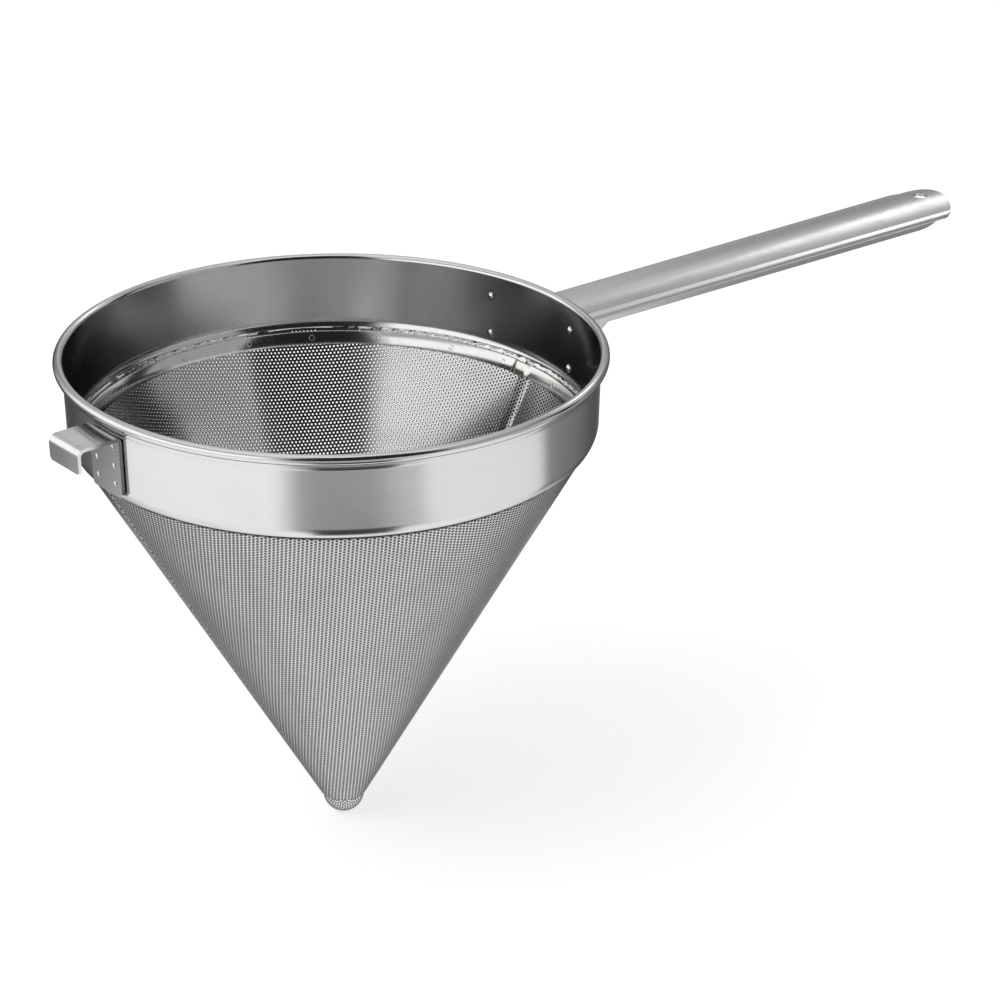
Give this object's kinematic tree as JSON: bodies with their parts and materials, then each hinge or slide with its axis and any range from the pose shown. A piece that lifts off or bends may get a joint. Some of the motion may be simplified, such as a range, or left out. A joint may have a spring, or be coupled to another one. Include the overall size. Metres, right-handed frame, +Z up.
{
  "type": "chinois strainer",
  "caption": "Conical perforated steel strainer in a rolled-edge band, with a riveted channel handle pierced for hanging and a bent hook opposite it to rest on a pot.",
  "frame": {"origin": "on the cone's axis, in the plane of the underside of the hem below the band's rolled edge", "axes": "+Z up the cone's axis, out of its mouth; +X along the handle, away from the band; the hook is on the -X side"},
  "size_m": [0.5662, 0.2492, 0.253],
  "materials": {
    "band": "polished",
    "rim_wire": "plain drawn wire",
    "perforated_sheet": "bright rolled sheet",
    "retaining_ring": "polished, spot welded",
    "tip_cap": "perforated sheet, drawn",
    "handle": "satin polished",
    "rivet": "polished",
    "hook": "satin polished, spot welded"
  },
  "bodies": {
    "root": {"band": "band", "rim_wire": "rim_wire", "perforated_cone": "perforated_sheet", "retaining_ring": "retaining_ring", "tip_cap": "tip_cap", "handle": "handle", "rivet_upper_left": "rivet", "rivet_upper_right": "rivet", "rivet_lower_left": "rivet", "rivet_lower_right": "rivet", "hook": "hook"}
  },
  "joints": []
}
